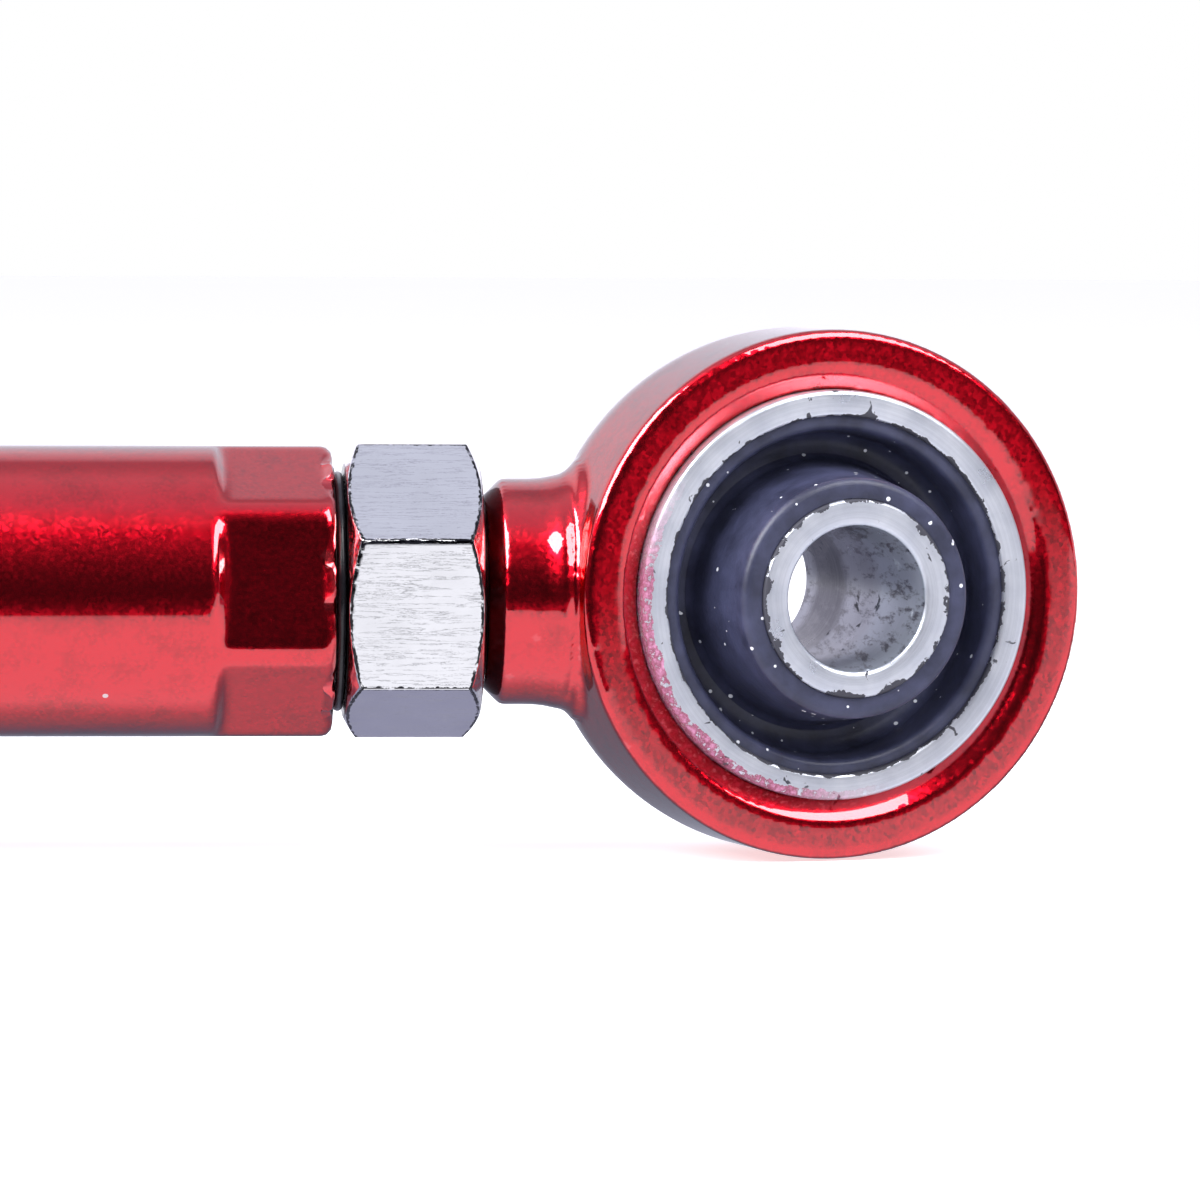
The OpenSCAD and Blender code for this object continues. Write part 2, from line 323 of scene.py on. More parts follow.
def both_ends(obj, piece, material, body, slot, node):
    """Finishes a right-hand piece and its copy at the left end, each in place of its own CAD node."""
    twin = left_copy(obj, piece + "_left")
    for side, each in zip(SIDES, (obj, twin)):
        finish_piece(each, f"{piece}_{side}", material, body.format(side), (f"{node}_{side}",))


def set_on_bolt(obj, smooth_angle, sizes, *names):
    """Smooths a turned piece, sets it on the right bolt axis and finishes it at both ends."""
    only(obj)
    bpy.ops.object.shade_smooth_by_angle(angle=math.radians(smooth_angle))
    onto_bolt(obj, sizes)
    both_ends(obj, *names)


def arc(cx, cz, r, start, end, steps=8):
    """Points of an arc in an outline, in degrees."""
    angles = [math.radians(start + (end - start) * i / steps) for i in range(steps + 1)]
    return [(cx + r * math.cos(a), cz + r * math.sin(a)) for a in angles]


# ---- shader helpers -------------------------------------------------------


def add(tree, kind, links=None, **settings):
    """Adds a shader node, sets its properties and fills its inputs with values or links."""
    node = tree.nodes.new("ShaderNode" + kind)
    for key, value in settings.items():
        setattr(node, key, value)
    for key, value in (links or {}).items():
        if isinstance(value, bpy.types.NodeSocket):
            tree.links.new(value, node.inputs[key])
        else:
            node.inputs[key].default_value = value
    return node


def maths(tree, operation, *values, clamp=False):
    """A maths node; returns its output."""
    return add(tree, "Math", dict(enumerate(values)), operation=operation, use_clamp=clamp).outputs[0]


def vectors(tree, operation, first, second):
    """A vector maths node; returns its vector output."""
    key = "Scale" if operation == "SCALE" else 1
    return add(tree, "VectorMath", {0: first, key: second}, operation=operation).outputs["Vector"]


def ramp(tree, value, low, high, smooth=False):
    """Turns a range of values into 0 to 1, or 1 to 0 where the range runs backwards."""
    node = add(
        tree,
        "MapRange",
        {"Value": value, "From Min": low, "From Max": high},
        interpolation_type="SMOOTHSTEP" if smooth else "LINEAR",
    )
    return node.outputs["Result"]


def blend(tree, factor, low, high):
    """Mixes two colours; returns the mixed colour."""
    node = tree.nodes.new("ShaderNodeMix")
    node.data_type = "RGBA"
    for index, value in ((0, factor), (6, low), (7, high)):
        if isinstance(value, bpy.types.NodeSocket):
            tree.links.new(value, node.inputs[index])
        else:
            node.inputs[index].default_value = value if index == 0 else (*value, 1)
    return node.outputs[2]


def noise(tree, vector, scale, detail=2.0, roughness=0.5, distortion=0.0):
    """A noise pattern between 0 and 1."""
    return add(
        tree,
        "TexNoise",
        {
            "Vector": vector, "Scale": scale, "Detail": detail,
            "Roughness": roughness, "Distortion": distortion,
        },
    ).outputs["Fac"]


def group(name, inputs, outputs):
    """Starts a shader node group with named inputs and outputs."""
    tree = bpy.data.node_groups.new(name, "ShaderNodeTree")
    for key, kind, default in inputs:
        socket = tree.interface.new_socket(name=key, in_out="INPUT", socket_type=kind)
        if default is not None:
            socket.default_value = default
    for key, kind in outputs:
        tree.interface.new_socket(name=key, in_out="OUTPUT", socket_type=kind)
    return tree, tree.nodes.new("NodeGroupInput"), tree.nodes.new("NodeGroupOutput")


def use(tree, name, **links):
    """Places a shader node group in a material, with its own values."""
    node = tree.nodes.new("ShaderNodeGroup")
    node.node_tree = bpy.data.node_groups[name]
    for key, value in links.items():
        key = key.replace("_", " ").capitalize()
        if isinstance(value, bpy.types.NodeSocket):
            tree.links.new(value, node.inputs[key])
        else:
            node.inputs[key].default_value = value
    return node


def new_material(name, **values):
    """A material with one Principled shader and its plain values."""
    material = bpy.data.materials.new(name)
    material.use_nodes = True
    tree = material.node_tree
    shader = tree.nodes["Principled BSDF"]
    for key, value in values.items():
        shader.inputs[key.replace("_", " ").title().replace("Ior", "IOR")].default_value = value
    place = tree.nodes.new("ShaderNodeTexCoord").outputs["Object"]
    return tree, shader, place


def plug(tree, shader, **links):
    """Links values into a shader's inputs."""
    for key, value in links.items():
        tree.links.new(value, shader.inputs[key.replace("_", " ")])


# ---- shared effects -------------------------------------------------------


def build_groups():
    """Shader groups that more than one finish uses."""
    value, vector = "NodeSocketFloat", "NodeSocketVector"

    tree, given, out = group(
        "Dust specks",
        [("Place", vector, None), ("Scale", value, 400.0), ("Amount", value, 0.1), ("Size", value, 0.25)],
        [("Mask", value)],
    )
    cell = add(tree, "TexVoronoi", {"Vector": given.outputs["Place"], "Scale": given.outputs["Scale"]})
    pick = add(tree, "SeparateColor", {"Color": cell.outputs["Color"]})
    chosen = maths(tree, "LESS_THAN", pick.outputs["Red"], given.outputs["Amount"])
    grain = maths(tree, "MULTIPLY", pick.outputs["Green"], given.outputs["Size"])
    near = maths(tree, "LESS_THAN", cell.outputs["Distance"], grain)
    tree.links.new(maths(tree, "MULTIPLY", chosen, near), out.inputs["Mask"])

    tree, given, out = group(
        "Worn edges",
        [("Place", vector, None), ("Low", value, 0.52), ("High", value, 0.58), ("Ragged", value, 900.0)],
        [("Mask", value)],
    )
    bend = tree.nodes.new("ShaderNodeNewGeometry").outputs["Pointiness"]
    rough = noise(tree, given.outputs["Place"], given.outputs["Ragged"], detail=3.0)
    shift = maths(tree, "MULTIPLY_ADD", rough, 0.06, -0.03)
    bent = maths(tree, "ADD", bend, shift)
    edge = add(
        tree,
        "MapRange",
        {"Value": bent, "From Min": given.outputs["Low"], "From Max": given.outputs["High"]},
    )
    tree.links.new(edge.outputs["Result"], out.inputs["Mask"])

    tree, given, out = group(
        "Scratches",
        [("Place", vector, None), ("Scale", value, 300.0), ("Stretch", vector, (0.05, 1.0, 1.0)),
         ("Amount", value, 0.1)],
        [("Mask", value)],
    )
    drawn_out = vectors(tree, "MULTIPLY", given.outputs["Place"], given.outputs["Stretch"])
    lines = noise(tree, drawn_out, given.outputs["Scale"], detail=6.0, roughness=0.7)
    line = maths(tree, "ABSOLUTE", maths(tree, "SUBTRACT", lines, 0.5))
    breaks = noise(tree, given.outputs["Place"], scale=260.0)
    thin = maths(tree, "MULTIPLY", maths(tree, "MULTIPLY", given.outputs["Amount"], 0.1), breaks)
    tree.links.new(maths(tree, "LESS_THAN", line, thin), out.inputs["Mask"])

    tree, given, out = group(
        "Metal flakes",
        [("Place", vector, None), ("Scale", value, 2200.0), ("Tilt", value, 0.2),
         ("Cloud scale", value, 1000.0), ("Cloud tilt", value, 0.2)],
        [("Shade", value), ("Normal", vector)],
    )
    grid = given.outputs["Place"]
    flake = add(tree, "TexVoronoi", {"Vector": grid, "Scale": given.outputs["Scale"]})
    cloud = add(tree, "TexNoise", {"Vector": grid, "Scale": given.outputs["Cloud scale"], "Detail": 3.0})
    leaning = tree.nodes.new("ShaderNodeNewGeometry").outputs["Normal"]
    for pattern, tilt in ((flake, "Tilt"), (cloud, "Cloud tilt")):
        lean = vectors(tree, "SUBTRACT", pattern.outputs["Color"], (0.5, 0.5, 0.5))
        lean = vectors(tree, "SCALE", lean, given.outputs[tilt])
        leaning = vectors(tree, "ADD", leaning, lean)
    turned_to = add(tree, "VectorMath", {0: leaning}, operation="NORMALIZE")
    shade = add(tree, "SeparateColor", {"Color": flake.outputs["Color"]}).outputs["Blue"]
    tree.links.new(turned_to.outputs["Vector"], out.inputs["Normal"])
    tree.links.new(shade, out.inputs["Shade"])

    tree, given, out = group(
        "Turned rings",
        [("Own place", vector, None), ("Fineness", value, 5.0)],
        [("Radius", value), ("Angle", value), ("Height", value), ("Rings", value)],
    )
    parts = add(tree, "SeparateXYZ", {0: given.outputs["Own place"]})
    x, y, z = parts.outputs
    square = maths(tree, "ADD", maths(tree, "MULTIPLY", x, x), maths(tree, "MULTIPLY", y, y))
    radius = maths(tree, "SQRT", square)
    angle = maths(tree, "ARCTAN2", y, x)
    line = add(tree, "CombineXYZ", {0: maths(tree, "MULTIPLY", radius, given.outputs["Fineness"]), 1: z})
    rings = noise(tree, line.outputs[0], scale=1.0, detail=4.0, roughness=0.6)
    for key, socket in (("Radius", radius), ("Angle", angle), ("Height", z), ("Rings", rings)):
        tree.links.new(socket, out.inputs[key])


# ---- finishes -------------------------------------------------------------


def own(tree):
    """The place that keep_own_place noted on the piece."""
    return add(tree, "Attribute", attribute_name="own_place").outputs["Vector"]


def candy_paint(finish):
    """Red lacquer over metal flakes under a gloss coat, thin and bright along the edges."""
    tree, shader, place = new_material(
        "candy_red_paint", metallic=1.0, specular_tint=(0.02, 0.02, 0.02, 1),
        coat_weight=1.0, coat_roughness=0.03, coat_ior=1.8,
    )
    flakes = use(
        tree, "Metal flakes", place=place, scale=2600.0, tilt=0.06, cloud_scale=1100.0, cloud_tilt=0.05
    )
    cloud = noise(tree, place, scale=240.0, detail=3.0, roughness=0.6)
    fine = noise(tree, place, scale=2600.0)
    thick = ramp(tree, cloud, 0.25, 0.6)
    shade = maths(tree, "MULTIPLY_ADD", flakes.outputs["Shade"], 0.5, thick, clamp=True)
    red = blend(tree, shade, finish.candy_deep, finish.candy_red)
    edge = use(tree, "Worn edges", place=place, low=0.535, high=0.60, ragged=1200.0)
    red = blend(tree, maths(tree, "MULTIPLY", edge.outputs["Mask"], 0.55), red, finish.candy_thin)
    dust = use(tree, "Dust specks", place=place, scale=260.0, amount=0.05, size=0.10)
    red = blend(tree, dust.outputs["Mask"], red, finish.candy_dust)
    rough = maths(tree, "MULTIPLY_ADD", fine, 0.12, 0.18)
    plug(tree, shader, Base_Color=red, Roughness=rough, Normal=flakes.outputs["Normal"])


def nickel_plate(finish, sizes):
    """Bright plating with fine scratches, broken lines of painted shade where the nut's faces meet, and
    painted shade over its end faces.
    """
    tree, shader, place = new_material("nut_plating", metallic=1.0)
    rings = use(tree, "Turned rings", own_place=own(tree), fineness=6.0)
    radius, height = rings.outputs["Radius"], rings.outputs["Height"]
    ragged = noise(tree, place, scale=1300.0, detail=4.0, roughness=0.7)
    # Distance from the line where a flat meets the turned-off corner
    half = sizes.nut_af / 2
    low = maths(tree, "MINIMUM", height, maths(tree, "SUBTRACT", NUT_H, height))
    rise = maths(tree, "MULTIPLY_ADD", radius, TAN_30, (NUT_FACE_IN - half) * TAN_30)
    gap = maths(tree, "SUBTRACT", low, rise)
    # A broken line of painted shade runs along this edge
    line = maths(tree, "LESS_THAN", gap, maths(tree, "MULTIPLY_ADD", ragged, 0.75, -0.10))
    line = maths(tree, "MULTIPLY", line, maths(tree, "GREATER_THAN", gap, 0.03))
    # Distance from the line where two flats meet
    turn = maths(tree, "SUBTRACT", rings.outputs["Angle"], sizes.nut_turn - 2 * math.pi)
    fold = maths(tree, "SUBTRACT", maths(tree, "MODULO", turn, math.pi / 3), math.pi / 6)
    across = maths(tree, "MULTIPLY", radius, maths(tree, "SINE", maths(tree, "ABSOLUTE", fold)))
    corner = maths(tree, "SUBTRACT", half * TAN_30, across)
    # A broken line of painted shade runs along this edge too
    crease = maths(tree, "LESS_THAN", corner, maths(tree, "MULTIPLY_ADD", ragged, 0.9, -0.22))
    crease = maths(tree, "MULTIPLY", crease, maths(tree, "GREATER_THAN", corner, 0.07))
    broken = ramp(tree, noise(tree, place, scale=420.0, detail=4.0, roughness=0.7), 0.40, 0.47)
    painted_nut_shade = maths(tree, "MULTIPLY", maths(tree, "MAXIMUM", line, crease), broken)
    # Painted shade: both end faces of the nut go near-black, which darkens their reflection in the shoulder
    painted_nut_shade = maths(tree, "MAXIMUM", painted_nut_shade, maths(tree, "LESS_THAN", low, 0.15))
    scratch = use(tree, "Scratches", place=place, scale=1500.0, stretch=(0.06, 1.0, 1.0), amount=0.10)
    cloud = ramp(tree, noise(tree, place, scale=160.0, detail=3.0), 0.35, 0.7)
    tone = blend(tree, cloud, finish.nickel, tuple(0.93 * c for c in finish.nickel))
    tone = blend(tree, painted_nut_shade, tone, finish.painted_nut_shade)
    tone = blend(tree, maths(tree, "MULTIPLY", scratch.outputs["Mask"], 0.45), tone, finish.scratch)
    rough = maths(tree, "MULTIPLY_ADD", noise(tree, place, scale=900.0, detail=4.0), 0.08, 0.03)
    bump = add(
        tree, "Bump", {"Height": scratch.outputs["Mask"], "Strength": 0.25, "Distance": 0.00004}, invert=True
    )
    plug(tree, shader, Base_Color=tone, Roughness=rough, Normal=bump.outputs["Normal"])


def overspray(finish, tree, place, rings, ragged, tone):
    """Pale paint crust on the outer sleeve's edge, at its left and bottom left; returns it with its mask."""
    reach = maths(tree, "MULTIPLY_ADD", ragged, 2.2, OUTER_SLEEVE_R - 2.0)
    near = maths(tree, "GREATER_THAN", rings.outputs["Radius"], reach)
    from_middle = maths(tree, "ADD", rings.outputs["Angle"], math.radians(-215))
    where = ramp(tree, maths(tree, "COSINE", from_middle), 0.30, 0.75)
    crust = noise(tree, place, scale=1500.0, detail=5.0, roughness=0.7)
    patch = ramp(tree, crust, 0.40, 0.46)
    mask = maths(tree, "MULTIPLY", maths(tree, "MULTIPLY", near, where), patch)
    spray = blend(tree, ramp(tree, crust, 0.45, 0.65), finish.spray_deep, finish.spray_pale)
    return blend(tree, mask, tone, spray), mask


def shaded_bore(finish, tree, place, rings, ragged):
    """The bolt hole's wall: painted light at its mouth, painted shade farther in with a darker band of
    painted shade, and scars.
    """
    depth = maths(tree, "MULTIPLY_ADD", ragged, 3.0, rings.outputs["Height"])
    far, near = ramp(tree, depth, -14.0, -11.0, smooth=True), ramp(tree, depth, -2.0, -5.0, smooth=True)
    mouth = ramp(tree, depth, 4.0, 8.0, smooth=True)
    # Painted light near the mouth, painted shade farther in
    bore_light_and_shade = blend(tree, mouth, finish.bore_inner_shade, finish.bore_mouth_light)
    # A band of painted shade inside the hole
    bore_light_and_shade = blend(tree, maths(tree, "MULTIPLY", far, near), bore_light_and_shade, finish.bore_shade_band)
    drawn_out = vectors(tree, "MULTIPLY", place, (1.0, 0.2, 1.0))
    scars = noise(tree, drawn_out, scale=900.0, detail=5.0, roughness=0.7)
    return blend(tree, ramp(tree, scars, 0.50, 0.62), bore_light_and_shade, finish.bore_scar)


def zinc_plate(finish, sizes, name, outer):
    """Turned zinc with lathe rings, dark chips, and ragged flash where it meets the rubber."""
    tree, shader, place = new_material(name)
    rings = use(tree, "Turned rings", own_place=own(tree), fineness=6.0)
    radius = rings.outputs["Radius"]
    cloud = noise(tree, place, scale=230.0, detail=4.0, roughness=0.6)
    tone = blend(tree, ramp(tree, cloud, 0.3, 0.75), finish.zinc, finish.zinc_light)
    tone = blend(tree, maths(tree, "MULTIPLY", rings.outputs["Rings"], 0.60), tone, finish.zinc_ring)
    ragged = noise(tree, place, scale=420.0, detail=5.0, roughness=0.65)
    spots = noise(tree, place, scale=520.0, detail=3.0, roughness=0.55, distortion=0.6)
    if outer:
        edge = maths(tree, "MULTIPLY_ADD", ragged, 1.9, OUTER_SLEEVE_R - sizes.sleeve_wall - 0.75)
        flash = maths(tree, "LESS_THAN", radius, edge)
    else:
        edge = maths(tree, "MULTIPLY_ADD", ragged, 4.6, INNER_SLEEVE_R - 2.5)
        flash = maths(tree, "GREATER_THAN", radius, edge)
    dark = maths(tree, "MAXIMUM", ramp(tree, spots, 0.665, 0.685), flash)
    tone = blend(tree, dark, tone, finish.flash)
    if outer:
        tone, spray = overspray(finish, tree, place, rings, ragged, tone)
        dark = maths(tree, "MAXIMUM", dark, spray)
    else:
        # In the bolt hole the wall takes painted light and painted shade
        inside = maths(tree, "LESS_THAN", radius, sizes.hole_r + 0.1)
        tone = blend(tree, inside, tone, shaded_bore(finish, tree, place, rings, ragged))
    metal = maths(tree, "MULTIPLY_ADD", dark, -0.75, 0.75, clamp=True)
    rough = maths(tree, "MULTIPLY_ADD", dark, 0.35, maths(tree, "MULTIPLY_ADD", cloud, 0.22, 0.20))
    height = maths(tree, "MULTIPLY_ADD", rings.outputs["Rings"], 0.5, maths(tree, "MULTIPLY", ragged, 0.5))
    bump = add(tree, "Bump", {"Height": height, "Strength": 0.5, "Distance": 0.00012})
    plug(tree, shader, Base_Color=tone, Metallic=metal, Roughness=rough, Normal=bump.outputs["Normal"])


def bush_rubber(finish):
    """Moulded rubber with clouds of grey and pale dust."""
    tree, shader, place = new_material("bush_moulding")
    rings = use(tree, "Turned rings", own_place=own(tree), fineness=3.0)
    cloud = noise(tree, place, scale=260.0, detail=4.0, roughness=0.6)
    tone = blend(
        tree, ramp(tree, cloud, 0.35, 0.75), finish.rubber, tuple(2.2 * c for c in finish.rubber)
    )
    dust = use(tree, "Dust specks", place=place, scale=900.0, amount=0.30, size=0.22)
    tone = blend(tree, dust.outputs["Mask"], tone, finish.rubber_dust)
    rough = maths(tree, "MULTIPLY_ADD", cloud, 0.25, 0.30)
    grain = noise(tree, place, scale=1500.0, detail=3.0)
    height = maths(tree, "MULTIPLY_ADD", rings.outputs["Rings"], 0.4, grain)
    bump = add(tree, "Bump", {"Height": height, "Strength": 0.35, "Distance": 0.0001})
    plug(tree, shader, Base_Color=tone, Roughness=rough, Normal=bump.outputs["Normal"])


def seal_rubber(finish):
    """Glossy black rubber of the seals, with a faint moulding grain."""
    tree, shader, place = new_material("seal_gloss")
    cloud = noise(tree, place, scale=900.0, detail=3.0)
    tone = blend(tree, cloud, finish.seal, tuple(2.5 * c for c in finish.seal))
    rough = maths(tree, "MULTIPLY_ADD", cloud, 0.2, 0.12)
    bump = add(tree, "Bump", {"Height": cloud, "Strength": 0.3, "Distance": 0.00008})
    plug(tree, shader, Base_Color=tone, Roughness=rough, Normal=bump.outputs["Normal"])


def thread_steel(finish):
    """Plated steel of the threaded shanks, with painted shade in the thread's root."""
    tree, shader, place = new_material("thread_steel", metallic=1.0)
    rings = use(tree, "Turned rings", own_place=own(tree), fineness=2.0)
    # Painted shade darkens the steel in the thread's root
    deep = ramp(tree, rings.outputs["Radius"], 8.1, 8.9)
    cloud = noise(tree, place, scale=500.0, detail=4.0, roughness=0.6)
    tone = blend(tree, deep, tuple(0.35 * c for c in finish.steel), finish.steel)
    tone = blend(tree, ramp(tree, cloud, 0.55, 0.75), tone, finish.rust)
    plug(tree, shader, Base_Color=tone, Roughness=maths(tree, "MULTIPLY_ADD", cloud, 0.3, 0.2))


# ---- operators ------------------------------------------------------------


class CONTROLARM_OT_finishes(bpy.types.Operator):
    """Make the paint, plating and rubber that the pieces share"""

    bl_idname = "control_arm.finishes"
    bl_label = "Finishes"

    def execute(self, context):
        finish, sizes = context.scene.arm_finish, context.scene.arm_sizes
        build_groups()
        candy_paint(finish)
        nickel_plate(finish, sizes)
        zinc_plate(finish, sizes, "zinc_outer_sleeve", outer=True)
        zinc_plate(finish, sizes, "zinc_inner_sleeve", outer=False)
        bush_rubber(finish)
        seal_rubber(finish)
        thread_steel(finish)
        return {"FINISHED"}


class CONTROLARM_OT_tube(bpy.types.Operator):
    """Model the tube with soft, paint-filled wrench flats at both ends"""

    bl_idname = "control_arm.tube"
    bl_label = "Turnbuckle tube"

    def execute(self, context):
        sizes = context.scene.arm_sizes
        outer = sizes.tube_d / 2
        bore = sizes.thread_r - 0.8
        bevel, fine, reach = 0.6, 0.5, 16.0
        near = [(outer, bevel + fine * i) for i in range(int((reach - bevel) / fine) + 1)]
        face = [(11.0, 0.0), (12.5, 0.0), (13.3, 0.0), (13.9, 0.0), (outer - bevel, 0.0)]
        half = face + near
        far = [(r, TUBE_LEN - z) for r, z in reversed(half)]
        middle = [(outer, reach + (TUBE_LEN - 2 * reach) * i / 8) for i in range(1, 8)]
        outline = [(bore, 0.0)] + half + middle + far + [(bore, TUBE_LEN), (bore, 0.0)]
        tube = turned("tube_paint", outline, steps=192)

        wrench, past = [], 2
        for start in (-past, TUBE_LEN - sizes.wrench_len):
            bar = hex_bar("wrench_bar", sizes.wrench_af, sizes.wrench_len + past, sizes.wrench_turn)
            move(bar, place=(0, 0, start))
            wrench.append(bar)
        shaped = tube.vertex_groups.new(name="wrench")
        for vertex in tube.data.vertices:
            x, y, z = vertex.co
            along = min(z, TUBE_LEN - z)
            if math.hypot(x, y) > 13.0 and along < sizes.wrench_len + 3.0:
                shaped.add([vertex.index], 1.0, "REPLACE")
        for bar in wrench:
            apply(
                tube,
                "SHRINKWRAP",
                target=bar,
                wrap_method="PROJECT",
                use_negative_direction=True,
                use_positive_direction=False,
                project_limit=2.5,
                vertex_group="wrench",
            )
            bpy.data.objects.remove(bar)
        apply(tube, "SMOOTH", factor=0.5, iterations=5, vertex_group="wrench")
        tube.vertex_groups.clear()
        only(tube)
        bpy.ops.object.shade_smooth_by_angle(angle=math.radians(50))
        move(tube, place=(-TUBE_X * MM, ARM_Y * MM, 0), turn=(0, math.radians(-90), 0), size=(MM, MM, MM))
        finish_piece(tube, "tube_paint", "candy_red_paint", "tube", ("turnbuckle_tube",))
        return {"FINISHED"}


class CONTROLARM_OT_housings(bpy.types.Operator):
    """Model the painted forgings: eye, flared neck and bevelled shoulder"""

    bl_idname = "control_arm.housings"
    bl_label = "End housings"

    def flare(self, sizes, fillet, upper):
        """Half a flare, spun over the top or the bottom of the neck's root."""
        neck = sizes.neck_r
        end_x = math.sqrt((EYE_R + fillet) ** 2 - (neck + fillet) ** 2)
        root = EYE_R / (EYE_R + fillet)
        start = math.degrees(math.atan2(end_x * root - end_x, (neck + fillet) * root - neck - fillet))
        curve = arc(neck + fillet, end_x, fillet, start, -180, 10)
        outline = [(0, 14.0), (root * (neck + fillet), 14.0)] + curve + [(0, end_x), (0, 14.0)]
        half = turned("flare", outline, steps=72, angle=math.pi)
        move(half, turn=(0, 0, math.radians(-90 if upper else 90)), size=(sizes.flare_depth, 1, 1))
        return half

    def execute(self, context):
        sizes = context.scene.arm_sizes
        half_w = sizes.eye_w / 2
        bore = OUTER_SLEEVE_R
        crown_r = (half_w**2 + sizes.rim_drop**2) / (2 * sizes.rim_drop)
        crown_end = -math.degrees(math.asin(half_w / crown_r))
        lead, deep, cut_r = 2.2, 1.4, EYE_R + 1.4
        mouth = [(bore, half_w - deep), (bore + lead, half_w)]
        outline = [(bore, deep - half_w)] + mouth + arc(EYE_R - 0.8, half_w - 0.8, 0.8, 90, 0, 5)
        outline += arc(EYE_R - crown_r, 0, crown_r, 0, crown_end, 14)
        outline += [(bore + lead, -half_w), (bore, deep - half_w)]
        eye = turned("eye", outline, steps=256)
        move(eye, turn=(math.radians(90), 0, sizes.bolt_lean))
        facing = [(0, 30), (cut_r, 30), (cut_r, half_w)] + mouth[::-1]
        facing += [(r, -z) for r, z in mouth] + [(cut_r, -half_w), (cut_r, -30), (0, -30)]

        shoulder, bevel, neck = sizes.shoulder_x, sizes.shoulder_bevel, sizes.neck_r
        stem = turned(
            "stem",
            [(0, COLLAR[0][1])] + [(neck + rise, x) for rise, x in COLLAR]
            + [(neck, shoulder - bevel), (neck - bevel, shoulder), (0, shoulder), (0, COLLAR[0][1])],
            steps=160,
        )
        top = self.flare(sizes, sizes.fillet_top, upper=True)
        roots = [stem, top, self.flare(sizes, sizes.fillet_bottom, upper=False)]
        for root in roots:
            move(root, place=(0, ARM_Y, 0), turn=(0, math.radians(-90), 0))
            cutter = turned("facing_cut", facing, steps=256)
            move(cutter, turn=(math.radians(90), 0, sizes.bolt_lean))
            combine(root, cutter, "DIFFERENCE")
        for root in roots:
            root.select_set(True)
        eye.select_set(True)
        bpy.context.view_layer.objects.active = eye
        bpy.ops.object.join()
        apply(eye, "REMESH", mode="VOXEL", voxel_size=sizes.paint_voxel)
        apply(eye, "SMOOTH", factor=0.5, iterations=4)
        only(eye)
        bpy.ops.object.shade_smooth()
        move(eye, size=(MM, MM, MM))
        both_ends(eye, "housing_paint", "candy_red_paint", "{}_end", "red_coating", "end_housing")
        return {"FINISHED"}


class CONTROLARM_OT_threads(bpy.types.Operator):
    """Cut the right-hand and left-hand threads of the two shanks"""

    bl_idname = "control_arm.threads"
    bl_label = "Threaded shanks"

    def execute(self, context):
        sizes = context.scene.arm_sizes
        top, root, pitch = sizes.thread_r - 0.02, sizes.thread_r - sizes.thread_depth, sizes.thread_pitch
        start = sizes.shoulder_x - 1.2
        turns = int((SHANK_END_X - start) / pitch) - 1
        for side, hand in zip(SIDES, (1, -1)):
            core = turned(
                "core",
                [(0, start), (root + 0.02, start), (root + 0.02, SHANK_END_X - 0.8),
                 (root - 0.78, SHANK_END_X), (0, SHANK_END_X), (0, start)],
                steps=64,
            )
            bpy.ops.object.select_all(action="DESELECT")
            bpy.ops.mesh.primitive_circle_add(vertices=4, radius=1, fill_type="NOTHING")
            ridge = bpy.context.object
            crest = pitch / 2
            corners = ((root - 0.3, 0.02), (top, crest - 0.1), (top, crest + 0.1), (root - 0.3, pitch - 0.02))
            for vertex, (r, z) in zip(ridge.data.vertices, corners):
                vertex.co = (r, 0, start + z)
            apply(
                ridge, "SCREW", axis="Z", angle=2 * math.pi, screw_offset=hand * pitch,
                iterations=turns, steps=64, render_steps=64, use_merge_vertices=False,
            )
            if hand < 0:
                move(ridge, place=(0, 0, turns * pitch))
            only(ridge)
            bpy.ops.object.mode_set(mode="EDIT")
            bpy.ops.mesh.select_all(action="SELECT")
            bpy.ops.mesh.remove_doubles(threshold=0.0005)
            bpy.ops.mesh.fill_holes(sides=0)
            bpy.ops.mesh.select_all(action="SELECT")
            bpy.ops.mesh.normals_make_consistent(inside=False)
            bpy.ops.object.mode_set(mode="OBJECT")
            only(core)
            ridge.select_set(True)
            bpy.ops.object.join()
            bpy.ops.object.shade_smooth_by_angle(angle=math.radians(25))
            onto_arm(core)
            if side == "left":
                move(core, place=(-BOLT_SPAN * MM, 2 * ARM_Y * MM, 0), turn=(0, 0, math.pi))
            finish_piece(core, f"thread_{side}", "thread_steel", f"{side}_end")
        return {"FINISHED"}


class CONTROLARM_OT_nuts(bpy.types.Operator):
    """Model the plated jam nuts, with their corners turned off and their edges soft"""

    bl_idname = "control_arm.nuts"
    bl_label = "Jam nuts"

    def execute(self, context):
        sizes = context.scene.arm_sizes
        corner = sizes.nut_af / 2 / math.cos(math.radians(30))
        face = sizes.nut_af / 2 - NUT_FACE_IN
        drop = (corner - face) * TAN_30
        bore, mouth, past = sizes.thread_r + 0.05, 0.8, 1
        rim = corner + 0.5
        rim_drop = drop * (rim - face) / (corner - face)
        nut = hex_bar("nut", sizes.nut_af, NUT_H, sizes.nut_turn)
        cone = turned(
            "corner_cone",
            [(0, 0), (face, 0), (rim, rim_drop), (rim, NUT_H - rim_drop), (face, NUT_H), (0, NUT_H)],
            steps=192,
        )
        combine(nut, cone, "INTERSECT")
        drill = turned(
            "drill",
            [(0, -past), (bore + mouth + past, -past), (bore, mouth), (bore, NUT_H - mouth),
             (bore + mouth + past, NUT_H + past), (0, NUT_H + past)],
            steps=96,
        )
        combine(nut, drill, "DIFFERENCE")
        apply(nut, "REMESH", mode="VOXEL", voxel_size=sizes.nut_voxel)
        apply(nut, "SMOOTH", factor=0.5, iterations=2)
        only(nut)
        bpy.ops.object.shade_smooth()
        keep_own_place(nut)
        move(nut, place=(0, 0, NUT_X))
        onto_arm(nut)
        both_ends(nut, "nut_plated", "nut_plating", "jam_nut_{}", "nickel_plate", "jam_nut")
        return {"FINISHED"}


